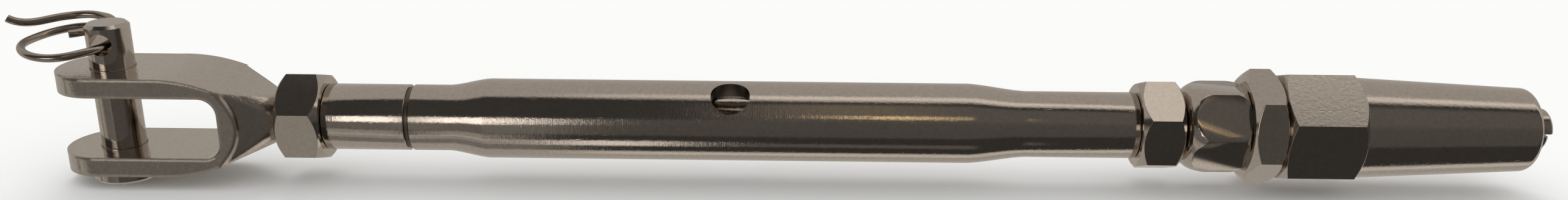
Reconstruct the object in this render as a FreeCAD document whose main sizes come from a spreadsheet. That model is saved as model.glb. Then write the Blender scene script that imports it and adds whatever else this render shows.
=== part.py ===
import FreeCAD, Part
import math
import os
import re

import Sketcher

# Closed body turnbuckle with a fork at one end and a wedge jaw wire terminal at the other.
# All lengths are in millimetres and all turns in degrees.
# The origin is the centre of the clevis pin on the long axis.
# +X runs along the body to the wire end and +Z along the clevis pin to its ring.

doc = FreeCAD.newDocument("Turnbuckle")
sheet = doc.addObject("Spreadsheet::Sheet", "Sizes")

SIZES = {
    "pin_diameter": 8.0,
    "pin_clearance": 0.08,
    "pin_rise": 8.6,
    "pin_edge": 0.6,
    "pin_head_diameter": 12.2,
    "pin_head_height": 2.8,
    "head_edge": 0.5,
    "ring_hole_diameter": 4.2,
    "ring_hole_rise": 5.1,
    "wire_diameter": 1.5,
    "ring_radius": 8.3,
    "ring_reach": 7.5,
    "jaw_gap": 11.8,
    "ear_thickness": 3.7,
    "ear_half_width": 8.8,
    "ear_tip": 10.2,
    "ear_straight": 5.0,
    "waist_radius": 60.0,
    "throat_reach": 22.3,
    "throat_radius": 3.2,
    "crown_start": 9.0,
    "crown_radius": 32.0,
    "shoulder_reach": 1.0,
    "shoulder_height": 7.0,
    "shoulder_half_width": 8.0,
    "yoke_length": 9.7,
    "neck_radius": 4.1,
    "neck_cone_lead": 1.5,
    "stud_diameter": 8.0,
    "stud_end_chamfer": 1.0,
    "thread_clearance": 0.08,
    "lock_nut_width": 15.8,
    "left_nut_length": 8.3,
    "right_nut_length": 8.0,
    "nut_face_radius": 7.6,
    "nut_chamfer": 1.3,
    "left_nut_turn": 18.5,
    "right_nut_turn": 23.5,
    "neck_gap": 0.3,
    "barrel_length": 154.3,
    "barrel_neck_diameter": 12.6,
    "barrel_diameter": 15.2,
    "barrel_bore_diameter": 9.4,
    "left_neck_length": 23.4,
    "right_neck_length": 21.0,
    "left_taper_length": 7.6,
    "right_taper_length": 11.0,
    "neck_thread_length": 24.0,
    "barrel_end_chamfer": 0.4,
    "mark_offset": 15.6,
    "mark_width": 0.9,
    "mark_depth": 0.45,
    "cross_hole_diameter": 7.4,
    "cross_hole_turn": 34.0,
    "stud_tip_gap": 9.6,
    "nut_to_hex_gap": 0.4,
    "stud_hex_width": 15.4,
    "stud_hex_length": 11.8,
    "stud_hex_turn": -0.4,
    "dome_radius": 5.2,
    "dome_length": 5.6,
    "dome_shoulder": 8.95,
    "dome_knee_length": 2.0,
    "dome_knee_radius": 7.4,
    "rim_radius": 7.7,
    "rim_length": 3.4,
    "spigot_diameter": 12.0,
    "jam_nut_width": 19.3,
    "jam_nut_length": 6.4,
    "jam_nut_turn": 40.0,
    "jam_nut_face_radius": 9.2,
    "sleeve_hex_width": 19.5,
    "sleeve_hex_length": 14.5,
    "sleeve_hex_turn": 19.5,
    "sleeve_root_diameter": 19.2,
    "sleeve_length": 48.0,
    "sleeve_tip_diameter": 15.9,
    "sleeve_face_diameter": 12.8,
    "sleeve_nose_length": 1.6,
    "sleeve_edge": 0.8,
    "socket_length": 13.0,
    "chamber_diameter": 12.4,
    "cone_start": 25.0,
    "nose_bore_diameter": 8.5,
    "nose_bore_length": 2.0,
    "jaw_clearance": 0.15,
    "jaw_proud": 3.4,
    "jaw_length": 23.0,
    "jaw_tip_chamfer": 0.5,
    "jaw_stagger": 0.4,
    "jaw_split_turn": 7.0,
    "jaw_first_turn": 61.0,
    "rope_diameter": 4.0,
    "rope_clearance": 0.05,
    "plunger_clearance": 0.163214,
    "plunger_gap": 0.05,
    "plunger_thickness": 2.0,
    "spring_wire_diameter": 0.9,
    "spring_diameter": 9.4,
    "spring_gap": 0.1,
    "spring_turns": 5.0,
}
for row, (alias, number) in enumerate(SIZES.items(), start=1):
    sheet.set(f"A{row}", alias)
    sheet.set(f"B{row}", str(number))
    sheet.setAlias(f"B{row}", alias)
doc.recompute()

# Stations along the axis, each worked out from the sizes that lie before it.
NECK_END = "(throat_reach + yoke_length)"
LEFT_NUT = f"({NECK_END} + neck_gap)"
BARREL = f"({LEFT_NUT} + left_nut_length)"
BARREL_END = f"({BARREL} + barrel_length)"
MIDDLE = f"({BARREL} + barrel_length / 2)"
RIGHT_NUT_END = f"({BARREL_END} + right_nut_length)"
STUD_HEX = f"({RIGHT_NUT_END} + nut_to_hex_gap)"
JAM_NUT = f"({STUD_HEX} + stud_hex_length)"
SLEEVE = f"({JAM_NUT} + jam_nut_length)"
SLEEVE_END = f"({SLEEVE} + sleeve_length)"
SPIGOT_END = f"({SLEEVE} + socket_length)"
CONE = f"({SLEEVE} + cone_start)"
CONE_END = f"({SLEEVE_END} - nose_bore_length)"
CONE_FALL = "((chamber_diameter - nose_bore_diameter) / 2)"
CONE_SLOPE = f"({CONE_FALL} / ({CONE_END} - {CONE}))"
JAWS_REAR = f"({SLEEVE_END} + jaw_proud - 2 * jaw_stagger - jaw_length)"
PLUNGER_FACE = f"({JAWS_REAR} - plunger_gap)"
PLUNGER_BACK = f"({PLUNGER_FACE} - plunger_thickness)"
EAR_TOP = "(jaw_gap / 2 + ear_thickness)"


def bind(text):
    """An expression on the sheet, from a sum written with the bare names of its sizes."""
    return re.sub(r"\b([a-z]+(?:_[a-z]+)+)\b", r"Sizes.\1", text)


def value(text):
    """The number that an expression gives with the sizes as they are."""
    return float(sheet.evalExpression(bind(text)))


def new_body(label):
    body = doc.addObject("PartDesign::Body", label)
    body.Label = label
    return body


def origin_feature(body, role):
    return next(f for f in body.Origin.OriginFeatures if f.Role == role)


def arc_between(start, end, radius):
    """An arc with the chord's left side outside it for a positive radius."""
    chord = end - start
    half = chord.Length / 2
    rise = math.sqrt(max(radius * radius - half * half, 0.0))
    side = 1 if radius > 0 else -1
    normal = FreeCAD.Vector(-chord.y, chord.x, 0).normalize() * side
    centre = start + chord / 2 + normal * rise
    middle = centre - normal * abs(radius)
    return Part.Arc(start, middle, end)


def hold(sketch, geometry, position, axis, text, name):
    """Hold one coordinate of a sketch point to an expression on the sheet."""
    if text == "0":
        line = -2 if axis == "DistanceX" else -1
        sketch.addConstraint(Sketcher.Constraint("PointOnObject", geometry, position, line))
        return
    index = sketch.addConstraint(
        Sketcher.Constraint(axis, -1, 1, geometry, position, value(text))
    )
    sketch.renameConstraint(index, name)
    sketch.setExpression(f".Constraints.{name}", bind(text))


def draw(sketch, points):
    """Add a closed outline. A third entry bends the side to the next point to that radius."""
    first = sketch.GeometryCount
    count = len(points)
    places = [FreeCAD.Vector(value(p[0]), value(p[1]), 0) for p in points]
    starts = []
    for i, point in enumerate(points):
        start, end = places[i], places[(i + 1) % count]
        if len(point) == 2:
            sketch.addGeometry(Part.LineSegment(start, end), False)
            starts.append(1)
        else:
            sketch.addGeometry(arc_between(start, end, value(point[2])), False)
            arc = sketch.Geometry[first + i]
            starts.append(1 if arc.StartPoint.isEqual(start, 1e-6) else 2)
    for i, point in enumerate(points):
        geometry = first + i
        after = (i + 1) % count
        sketch.addConstraint(
            Sketcher.Constraint(
                "Coincident", geometry, 3 - starts[i], first + after, starts[after]
            )
        )
        hold(sketch, geometry, starts[i], "DistanceX", point[0], f"across_{geometry}")
        hold(sketch, geometry, starts[i], "DistanceY", point[1], f"along_{geometry}")
        if len(point) == 3:
            index = sketch.addConstraint(
                Sketcher.Constraint("Radius", geometry, abs(value(point[2])))
            )
            name = f"bend_{geometry}"
            sketch.renameConstraint(index, name)
            sketch.setExpression(f".Constraints.{name}", bind(point[2].lstrip("-")))


def outline(body, role, name, *loops):
    """A sketch on one of the body's origin planes, with one or more closed outlines."""
    sketch = body.newObject("Sketcher::SketchObject", name)
    sketch.AttachmentSupport = [(origin_feature(body, role), "")]
    sketch.MapMode = "FlatFace"
    for points in loops:
        draw(sketch, points)
    return sketch


def circle(body, role, name, across, along, diameter):
    sketch = body.newObject("Sketcher::SketchObject", name)
    sketch.AttachmentSupport = [(origin_feature(body, role), "")]
    sketch.MapMode = "FlatFace"
    centre = FreeCAD.Vector(value(across), value(along), 0)
    normal = FreeCAD.Vector(0, 0, 1)
    sketch.addGeometry(Part.Circle(centre, normal, value(diameter) / 2), False)
    hold(sketch, 0, 3, "DistanceX", across, "across")
    hold(sketch, 0, 3, "DistanceY", along, "along")
    index = sketch.addConstraint(Sketcher.Constraint("Diameter", 0, value(diameter)))
    sketch.renameConstraint(index, "width")
    sketch.setExpression(".Constraints.width", bind(diameter))
    return sketch


def volume_of(body):
    return body.Shape.Volume if not body.Shape.isNull() else 0.0


def feature(body, kind, name, sketch, adds, **settings):
    """One sketched feature, checked to add or remove material as it should."""
    doc.recompute()
    before = volume_of(body)
    made = body.newObject(kind, name)
    made.Profile = sketch
    expressions = settings.pop("expressions", {})
    for key, setting in settings.items():
        setattr(made, key, setting)
    for key, text in expressions.items():
        made.setExpression(key, bind(text))
    sketch.Visibility = False
    body.Tip = made
    doc.recompute()
    change = volume_of(body) - before
    if (change > 0) != adds or abs(change) < 1e-3:
        raise RuntimeError(f"{body.Label}: {name} changes the volume by {change:.3f}")
    return made


def pad(body, name, sketch, length, midplane=False):
    kind = "PartDesign::Pad"
    return feature(
        body, kind, name, sketch, True, Midplane=midplane, expressions={"Length": length}
    )


def cut_through(body, name, sketch):
    kind = "PartDesign::Pocket"
    return feature(body, kind, name, sketch, False, Type="ThroughAll", Midplane=True)


def turn(body, name, sketch, adds=True, axis="X_Axis", angle="360"):
    kind = "PartDesign::Revolution" if adds else "PartDesign::Groove"
    return feature(
        body,
        kind,
        name,
        sketch,
        adds,
        ReferenceAxis=(origin_feature(body, axis), [""]),
        expressions={"Angle": angle},
    )


def hexagon(width, tilt):
    """The six corners of a hexagon across flats width, one of them at the angle tilt."""
    corner = f"{width} / sqrt(3)"
    return [
        (f"-{corner} * cos({tilt} + {k} * 60)", f"{corner} * sin({tilt} + {k} * 60)")
        for k in range(6)
    ]


def hex_prism(body, name, width, tilt, start, length):
    """A hexagonal bar along X, drawn on the plane across it and moved to its start."""
    sketch = outline(body, "YZ_Plane", f"{name}_outline", hexagon(width, tilt))
    sketch.setExpression("AttachmentOffset.Base.z", bind(start))
    return pad(body, name, sketch, length)


def end_bevel(body, name, face, inner, reach, direction, width):
    """Turn the corners off a hexagon's end, from the circle inner on its face."""
    outer = f"({width} / sqrt(3) + 1)"
    run = f"({outer} - {inner}) / ({width} / sqrt(3) - {inner}) * {reach}"
    far = f"{face} {direction} {run}"
    sketch = outline(
        body, "XY_Plane", f"{name}_profile", [(face, inner), (face, outer), (far, outer)]
    )
    return turn(body, name, sketch, adds=False)


def bore(body, name, start, end, radius):
    sketch = outline(
        body,
        "XY_Plane",
        f"{name}_profile",
        [(start, "0"), (end, "0"), (end, radius), (start, radius)],
    )
    return turn(body, name, sketch, adds=False)


def stud(body, name, start, end, chamfer_direction):
    """A threaded stud's plain envelope with a chamfered free end."""
    shoulder = f"{end} {chamfer_direction} stud_end_chamfer"
    sketch = outline(
        body,
        "XY_Plane",
        f"{name}_profile",
        [
            (start, "0"),
            (end, "0"),
            (end, "stud_diameter / 2 - stud_end_chamfer"),
            (shoulder, "stud_diameter / 2"),
            (start, "stud_diameter / 2"),
        ],
    )
    return turn(body, name, sketch)


def make_fork():
    """Forged fork: two rounded ears, a crowned yoke that tapers to the neck, and the stud."""
    body = new_body("fork")
    shoulder = "(throat_reach + shoulder_reach)"
    side = outline(
        body,
        "XZ_Plane",
        "side_outline",
        [
            ("-ear_tip", f"-{EAR_TOP}"),
            ("crown_start", f"-{EAR_TOP}", "crown_radius"),
            (shoulder, "-shoulder_height"),
            (NECK_END, "-neck_radius"),
            (NECK_END, "neck_radius"),
            (shoulder, "shoulder_height", "crown_radius"),
            ("crown_start", EAR_TOP),
            ("-ear_tip", EAR_TOP),
        ],
    )
    pad(body, "blank", side, "ear_half_width * 2", midplane=True)
    slot = outline(
        body,
        "XZ_Plane",
        "slot_outline",
        [
            ("-ear_tip - 1", "-jaw_gap / 2"),
            ("throat_reach - throat_radius", "-jaw_gap / 2", "throat_radius"),
            ("throat_reach", "throat_radius - jaw_gap / 2"),
            ("throat_reach", "jaw_gap / 2 - throat_radius", "throat_radius"),
            ("throat_reach - throat_radius", "jaw_gap / 2"),
            ("-ear_tip - 1", "jaw_gap / 2"),
        ],
    )
    cut_through(body, "slot", slot)
    nose = "(ear_half_width - ear_tip)"
    plan = [
        ("-ear_tip", "0", "ear_half_width"),
        (nose, "-ear_half_width"),
        ("ear_straight", "-ear_half_width", "-waist_radius"),
        (shoulder, "-shoulder_half_width"),
        (NECK_END, "-neck_radius"),
        (NECK_END, "neck_radius"),
        (shoulder, "shoulder_half_width", "-waist_radius"),
        ("ear_straight", "ear_half_width"),
        (nose, "ear_half_width", "ear_half_width"),
    ]
    frame = [
        ("-ear_tip - 2", "-ear_half_width - 2"),
        (f"{NECK_END} + 2", "-ear_half_width - 2"),
        (f"{NECK_END} + 2", "ear_half_width + 2"),
        ("-ear_tip - 2", "ear_half_width + 2"),
    ]
    cut_through(body, "plan_trim", outline(body, "XY_Plane", "plan_outline", frame, plan))
    wide = "(shoulder_half_width + shoulder_height / 2)"
    cone = outline(
        body,
        "XY_Plane",
        "cone_profile",
        [(NECK_END, "neck_radius"), (NECK_END, wide), (f"{shoulder} - neck_cone_lead", wide)],
    )
    turn(body, "neck_cone", cone, adds=False)
    stud(body, "stud", NECK_END, f"{MIDDLE} - stud_tip_gap / 2", "-")
    hole = circle(
        body, "XY_Plane", "pin_hole_outline", "0", "0", "pin_diameter + 2 * pin_clearance"
    )
    cut_through(body, "pin_hole", hole)
    return body


def make_clevis_pin():
    """Headed pin, head down, with a cross hole for the ring above the upper ear."""
    body = new_body("clevis_pin")
    top = f"{EAR_TOP} + pin_rise"
    head_top = f"-{EAR_TOP}"
    head_bottom = f"-{EAR_TOP} - pin_head_height"
    profile = outline(
        body,
        "XZ_Plane",
        "profile",
        [
            ("0", head_bottom),
            ("pin_head_diameter / 2 - head_edge", head_bottom),
            ("pin_head_diameter / 2", f"{head_bottom} + head_edge"),
            ("pin_head_diameter / 2", head_top),
            ("pin_diameter / 2", head_top),
            ("pin_diameter / 2", f"{top} - pin_edge"),
            ("pin_diameter / 2 - pin_edge", top),
            ("0", top),
        ],
    )
    turn(body, "turned_pin", profile, axis="Z_Axis")
    hole = circle(
        body,
        "XZ_Plane",
        "ring_hole_outline",
        "0",
        f"{EAR_TOP} + ring_hole_rise",
        "ring_hole_diameter",
    )
    cut_through(body, "ring_hole", hole)
    return body


# Heights of the ring's wire above the cross hole's centre, at turns round the ring.
# Turn 0 lies in the cross hole, positive turns run to the near side of the pin.
RING_HEIGHTS = (
    (-125.0, 2.6),
    (-90.0, 2.8),
    (-52.0, 2.4),
    (-27.0, 0.8),
    (0.0, 0.0),
    (27.0, -0.6),
    (90.0, -1.3),
    (180.0, -0.5),
    (270.0, 0.4),
    (310.0, 0.8),
)
# The hooked inner end, as offsets from the pin's axis in the ring's own plane.
RING_HOOK = ((-2.6, 5.6), (-3.6, 5.0), (-5.7, 3.0), (-8.0, 0.9))
# The flared outer end, as offsets from the ring's centre and heights.
RING_FLARE = ((-12.4, 2.0, 3.5), (-10.7, 2.7, 2.6))
# Pairs of arcs that a wire form is bent from, and points that its path is read at.
RING_PAIRS = 20
RING_POINTS = 28
SPRING_PAIRS_A_TURN = 5
SPRING_POINTS_A_TURN = 16


def ring_height(angle):
    for (low, below), (high, above) in zip(RING_HEIGHTS, RING_HEIGHTS[1:]):
        if low <= angle <= high:
            share = (angle - low) / (high - low)
            return below + (above - below) * share * share * (3 - 2 * share)
    raise ValueError(f"no ring height at {angle}")


def arc_from(start, direction, end):
    """The arc that leaves start along direction and passes through end."""
    chord = end - start
    normal = direction.cross(chord)
    if normal.Length < 1e-7:
        return Part.LineSegment(start, end)
    side = normal.normalize().cross(direction)
    radius = chord.dot(chord) / (2 * chord.dot(side))
    centre = start + side * radius
    middle = (start + end) / 2 - centre
    return Part.Arc(start, centre + middle.normalize() * abs(radius), end)


def smooth_arcs(path, pairs):
    """Pairs of arcs, each tangent to the next, along a smooth curve through the points."""
    curve = Part.BSplineCurve()
    curve.interpolate(path)
    length = curve.length()
    edges = []
    stations = []
    for k in range(pairs + 1):
        place = curve.parameterAtDistance(length * k / pairs, curve.FirstParameter)
        stations.append((curve.value(place), curve.tangent(place)[0]))
    for (start, leaving), (end, arriving) in zip(stations, stations[1:]):
        chord = end - start
        both = leaving + arriving
        bend = 2 * (1 - leaving.dot(arriving))
        if bend < 1e-9:
            reach = chord.dot(chord) / (4 * chord.dot(arriving))
        else:
            along = chord.dot(both)
            reach = (math.sqrt(along * along + bend * chord.dot(chord)) - along) / bend
        first, second = start + leaving * reach, end - arriving * reach
        middle = (first + second) / 2
        onward = (second - first).normalize()
        edges.append(arc_from(start, leaving, middle).toShape())
        edges.append(arc_from(middle, onward, end).toShape())
    return edges, stations[0]


def wire_form(label, path, pairs, diameter):
    """Round wire along the arcs that follow the path's points."""
    edges, (start, leaving) = smooth_arcs(path, pairs)
    section = Part.Wire([Part.Circle(start, leaving, diameter / 2).toShape()])
    form = doc.addObject("Part::Feature", label)
    form.Label = label
    form.Shape = Part.Wire(edges).makePipeShell([section], True, False)
    return form


def make_split_ring():
    """Hard wire ring through the pin, one turn and a half with a hooked inner end."""
    level = value(f"{EAR_TOP} + ring_hole_rise")
    radius = value("ring_radius")
    reach = value("ring_reach")
    first, last = RING_HEIGHTS[0][0], RING_HEIGHTS[-1][0]
    path = [FreeCAD.Vector(x - reach, y, level + rise) for x, y, rise in RING_FLARE]
    for k in range(RING_POINTS + 1):
        angle = first + (last - first) * k / RING_POINTS
        turned = math.radians(angle)
        path.append(
            FreeCAD.Vector(
                radius * math.cos(turned) - reach,
                -radius * math.sin(turned),
                level + ring_height(angle),
            )
        )
    for across, along in RING_HOOK:
        path.append(FreeCAD.Vector(across, along, level + RING_HEIGHTS[-1][1]))
    return wire_form("split_ring", path, RING_PAIRS, value("wire_diameter"))


def make_nut(label, start, length, width, tilt, face_radius, chamfer, hole):
    body = new_body(label)
    hex_prism(body, "hexagon", width, tilt, start, length)
    end_bevel(body, "left_bevel", start, face_radius, chamfer, "+", width)
    end_bevel(body, "right_bevel", f"{start} + {length}", face_radius, chamfer, "-", width)
    bore(body, "thread", f"{start} - 1", f"{start} + {length} + 1", hole)
    return body


def make_barrel():
    """Turned closed body: threaded necks, a fuller middle, a mark groove and a cross hole."""
    body = new_body("barrel")
    left_full = f"{BARREL} + left_neck_length + left_taper_length"
    right_full = f"{BARREL_END} - right_neck_length - right_taper_length"
    mark = f"{BARREL} + mark_offset"
    neck = "barrel_neck_diameter / 2"
    full = "barrel_diameter / 2"
    profile = outline(
        body,
        "XY_Plane",
        "profile",
        [
            (BARREL, "0"),
            (BARREL_END, "0"),
            (BARREL_END, f"{neck} - barrel_end_chamfer"),
            (f"{BARREL_END} - barrel_end_chamfer", neck),
            (f"{BARREL_END} - right_neck_length", neck),
            (right_full, full),
            (left_full, full),
            (f"{BARREL} + left_neck_length", neck),
            (f"{mark} + mark_width", neck),
            (f"{mark} + mark_width", f"{neck} - mark_depth"),
            (mark, f"{neck} - mark_depth"),
            (mark, neck),
            (f"{BARREL} + barrel_end_chamfer", neck),
            (BARREL, f"{neck} - barrel_end_chamfer"),
        ],
    )
    turn(body, "turned_body", profile)
    thread = "stud_diameter / 2 + thread_clearance"
    bore(body, "thread", f"{BARREL} - 1", f"{BARREL_END} + 1", thread)
    inner = f"{BARREL} + neck_thread_length"
    outer = f"{BARREL_END} - neck_thread_length"
    bore(body, "relief", inner, outer, "barrel_bore_diameter / 2")
    hole = circle(body, "XY_Plane", "cross_hole_outline", MIDDLE, "0", "cross_hole_diameter")
    across = FreeCAD.Rotation(FreeCAD.Vector(1, 0, 0), value("cross_hole_turn"))
    hole.AttachmentOffset = FreeCAD.Placement(FreeCAD.Vector(), across)
    hole.setExpression("AttachmentOffset.Rotation.Angle", bind("cross_hole_turn"))
    cut_through(body, "cross_hole", hole)
    return body


def make_terminal_stud():
    """Threaded stud, domed hexagon and the spigot that the sleeve screws on."""
    body = new_body("terminal_stud")
    hex_prism(body, "hexagon", "stud_hex_width", "stud_hex_turn", STUD_HEX, "stud_hex_length")
    corner = "(stud_hex_width / sqrt(3) + 1)"
    dome_end = f"{STUD_HEX} + dome_length"
    dome = outline(
        body,
        "XY_Plane",
        "dome_profile",
        [
            (STUD_HEX, "dome_radius"),
            (f"{STUD_HEX} + dome_knee_length", "dome_knee_radius"),
            (dome_end, "dome_shoulder"),
            (dome_end, corner),
            (STUD_HEX, corner),
        ],
    )
    turn(body, "dome", dome, adds=False)
    rim_start = f"{JAM_NUT} - rim_length"
    rim = outline(
        body,
        "XY_Plane",
        "rim_profile",
        [
            (rim_start, corner),
            (rim_start, "dome_shoulder"),
            (JAM_NUT, "rim_radius"),
            (JAM_NUT, corner),
        ],
    )
    turn(body, "rim", rim, adds=False)
    stud(body, "stud", STUD_HEX, f"{MIDDLE} + stud_tip_gap / 2", "+")
    end = SPIGOT_END
    spigot = outline(
        body,
        "XY_Plane",
        "spigot_profile",
        [
            (JAM_NUT, "0"),
            (end, "0"),
            (end, "spigot_diameter / 2 - stud_end_chamfer"),
            (f"{end} - stud_end_chamfer", "spigot_diameter / 2"),
            (JAM_NUT, "spigot_diameter / 2"),
        ],
    )
    turn(body, "spigot", spigot)
    return body


def make_sleeve():
    """Socket with a hexagon, a tapered round nose and an inner cone for the jaws."""
    body = new_body("terminal_sleeve")
    width = "sleeve_hex_width"
    hex_prism(body, "hexagon", width, "sleeve_hex_turn", SLEEVE, "sleeve_hex_length")
    round_start = f"{SLEEVE} + sleeve_hex_length"
    nose = f"{SLEEVE_END} - sleeve_nose_length"
    taper = outline(
        body,
        "XY_Plane",
        "taper_profile",
        [
            (round_start, "0"),
            (SLEEVE_END, "0"),
            (SLEEVE_END, "sleeve_face_diameter / 2", "sleeve_nose_length"),
            (nose, "sleeve_tip_diameter / 2"),
            (round_start, "sleeve_root_diameter / 2"),
        ],
    )
    turn(body, "taper", taper)
    root = "sleeve_root_diameter / 2"
    end_bevel(body, "hex_bevel", SLEEVE, root, "sleeve_edge", "+", width)
    end_bevel(body, "hex_round", round_start, root, "nut_chamfer", "-", width)
    cavity = outline(
        body,
        "XY_Plane",
        "cavity_profile",
        [
            (f"{SLEEVE} - 1", "0"),
            (f"{SLEEVE_END} + 1", "0"),
            (f"{SLEEVE_END} + 1", "nose_bore_diameter / 2"),
            (CONE_END, "nose_bore_diameter / 2"),
            (CONE, "chamber_diameter / 2"),
            (SPIGOT_END, "chamber_diameter / 2"),
            (SPIGOT_END, "spigot_diameter / 2 + thread_clearance"),
            (f"{SLEEVE} - 1", "spigot_diameter / 2 + thread_clearance"),
        ],
    )
    turn(body, "cavity", cavity, adds=False)
    return body


def make_jaw(label, angle, back):
    """One of three wedge jaws: a cone segment outside and a rope bore inside."""
    body = new_body(label)
    tip = f"({SLEEVE_END} + jaw_proud - {back} * jaw_stagger)"
    rear = f"({tip} - jaw_length)"
    seat = f"({CONE_END} - {back} * jaw_stagger)"
    nose = "(nose_bore_diameter / 2 - jaw_clearance)"
    rear_radius = f"{nose} + ({seat} - {rear}) * {CONE_SLOPE}"
    rope = "rope_diameter / 2 + rope_clearance"
    profile = outline(
        body,
        "XY_Plane",
        "profile",
        [
            (rear, rope),
            (tip, rope),
            (tip, f"{nose} - jaw_tip_chamfer"),
            (f"{tip} - jaw_tip_chamfer", nose),
            (seat, nose),
            (rear, rear_radius),
        ],
    )
    turn(body, "segment", profile, angle="120 - jaw_split_turn")
    body.Placement.Rotation = FreeCAD.Rotation(FreeCAD.Vector(1, 0, 0), angle)
    return body


def make_plunger():
    """Guide disc between the spring and the jaws."""
    body = new_body("jaw_plunger")
    cone_radius = f"chamber_diameter / 2 - ({PLUNGER_FACE} - {CONE}) * {CONE_SLOPE}"
    rim = f"min(chamber_diameter / 2; {cone_radius}) - plunger_clearance"
    profile = outline(
        body,
        "XY_Plane",
        "profile",
        [
            (PLUNGER_BACK, "rope_diameter / 2 + rope_clearance"),
            (PLUNGER_FACE, "rope_diameter / 2 + rope_clearance"),
            (PLUNGER_FACE, rim),
            (PLUNGER_BACK, rim),
        ],
    )
    turn(body, "disc", profile)
    return body


def make_spring():
    """Compression spring between the spigot and the plunger."""
    wire = value("spring_wire_diameter")
    start = value(f"{SPIGOT_END} + spring_gap") + wire / 2
    end = value(f"{PLUNGER_BACK} - spring_gap") - wire / 2
    radius = value("spring_diameter") / 2
    turns = value("spring_turns")
    steps = int(round(turns * SPRING_POINTS_A_TURN))
    path = []
    for k in range(steps + 1):
        turned = 2 * math.pi * turns * k / steps
        along = start + (end - start) * k / steps
        path.append(
            FreeCAD.Vector(along, radius * math.cos(turned), radius * math.sin(turned))
        )
    return wire_form("jaw_spring", path, int(round(turns * SPRING_PAIRS_A_TURN)), wire)


parts = [
    make_fork(),
    make_clevis_pin(),
    make_split_ring(),
    make_nut(
        "left_lock_nut",
        LEFT_NUT,
        "left_nut_length",
        "lock_nut_width",
        "left_nut_turn",
        "nut_face_radius",
        "nut_chamfer",
        "stud_diameter / 2 + thread_clearance",
    ),
    make_barrel(),
    make_nut(
        "right_lock_nut",
        BARREL_END,
        "right_nut_length",
        "lock_nut_width",
        "right_nut_turn",
        "nut_face_radius",
        "nut_chamfer",
        "stud_diameter / 2 + thread_clearance",
    ),
    make_terminal_stud(),
    make_nut(
        "terminal_lock_nut",
        JAM_NUT,
        "jam_nut_length",
        "jam_nut_width",
        "jam_nut_turn",
        "jam_nut_face_radius",
        "nut_chamfer",
        "spigot_diameter / 2 + thread_clearance",
    ),
    make_sleeve(),
    make_jaw("jaw_upper", value("jaw_first_turn"), "0"),
    make_jaw("jaw_rear", value("jaw_first_turn + 240"), "1"),
    make_jaw("jaw_lower", value("jaw_first_turn + 120"), "2"),
    make_plunger(),
    make_spring(),
]

doc.recompute()
for item in doc.Objects:
    if "Invalid" in item.State or "Error" in item.State:
        raise RuntimeError(f"{item.Label} did not build: {item.State}")
for part in parts:
    if part.Shape.isNull() or not part.Shape.isValid():
        raise RuntimeError(f"{part.Label} has no valid shape")

os.makedirs("parts", exist_ok=True)
for part in parts:
    part.Shape.exportStep(f"parts/{part.Label}.step")
    box = part.Shape.BoundBox
    print(f"{part.Label} x {box.XMin:.2f} to {box.XMax:.2f}, volume {part.Shape.Volume:.1f}")
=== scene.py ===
import math

import bpy
from mathutils import Matrix, Vector


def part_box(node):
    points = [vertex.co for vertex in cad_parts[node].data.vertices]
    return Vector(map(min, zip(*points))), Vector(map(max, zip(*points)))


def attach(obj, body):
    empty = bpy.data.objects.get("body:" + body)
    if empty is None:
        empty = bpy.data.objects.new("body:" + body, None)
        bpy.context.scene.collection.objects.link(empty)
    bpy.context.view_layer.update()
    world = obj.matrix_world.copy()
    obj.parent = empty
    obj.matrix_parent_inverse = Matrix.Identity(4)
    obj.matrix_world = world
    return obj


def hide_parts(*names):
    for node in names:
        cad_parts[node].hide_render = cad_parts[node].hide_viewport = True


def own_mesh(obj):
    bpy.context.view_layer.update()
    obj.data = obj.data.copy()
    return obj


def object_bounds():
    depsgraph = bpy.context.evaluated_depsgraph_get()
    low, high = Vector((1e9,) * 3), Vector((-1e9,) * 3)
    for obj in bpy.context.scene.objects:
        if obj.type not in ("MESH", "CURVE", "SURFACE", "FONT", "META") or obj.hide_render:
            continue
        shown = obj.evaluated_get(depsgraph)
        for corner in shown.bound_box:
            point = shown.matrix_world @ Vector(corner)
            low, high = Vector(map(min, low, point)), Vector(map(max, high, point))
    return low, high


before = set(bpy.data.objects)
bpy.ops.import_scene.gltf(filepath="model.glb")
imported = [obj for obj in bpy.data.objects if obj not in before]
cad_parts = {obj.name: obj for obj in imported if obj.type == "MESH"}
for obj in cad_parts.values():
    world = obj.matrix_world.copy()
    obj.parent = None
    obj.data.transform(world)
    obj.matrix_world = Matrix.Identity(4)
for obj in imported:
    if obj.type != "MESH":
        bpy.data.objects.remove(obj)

# The box of the imported solids, whose bottom gives the floor its height.
solids_low, solids_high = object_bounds()

bl_info = {
    "name": "Closed Body Turnbuckle",
    "version": (1, 0, 0),
    "blender": (4, 5, 0),
    "location": "3D View > Sidebar > Turnbuckle",
    "description": "Builds a rigging turnbuckle with a pinned fork and a wedge jaw terminal",
    "category": "Object",
}

MM = 0.001

# Points closer than this are one point, in a new mesh and in a copy of a solid.
SAME_POINT = 0.001 * MM
SAME_SOLID_POINT = 0.002 * MM

# Gaps that the solids leave between pieces.
THREAD_CLEARANCE = 0.08 * MM
FORK_TO_NUT = 0.3 * MM
NUT_TO_HEXAGON = 0.4 * MM

# Rounded edge of the barrel's mouths, and one point on it, along and down from the corner.
MOUTH_EDGE = 0.4 * MM
MOUTH_ROUND = (0.12 * MM, 0.14 * MM)

# Swaged shoulders of the barrel: their steps, and the share of the smooth step in the taper.
SHOULDER_STEPS = 10
SHOULDER_BLEND = 0.55

# Rings of points on each side of the cross hole, which keep its cut among short faces.
HOLE_RINGS = 5.5 * MM
DRILL_LENGTH = 30 * MM

# Lips of the mark groove, along from its edge and down from the neck, and the foot of each wall.
LEFT_LIP = ((-0.05 * MM, 0.0), (0.02 * MM, 0.06 * MM))
RIGHT_LIP = ((-0.06 * MM, 0.16 * MM), (0.12 * MM, 0.0))
LEFT_FOOT = 0.08 * MM
RIGHT_FOOT = 0.22 * MM
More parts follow.
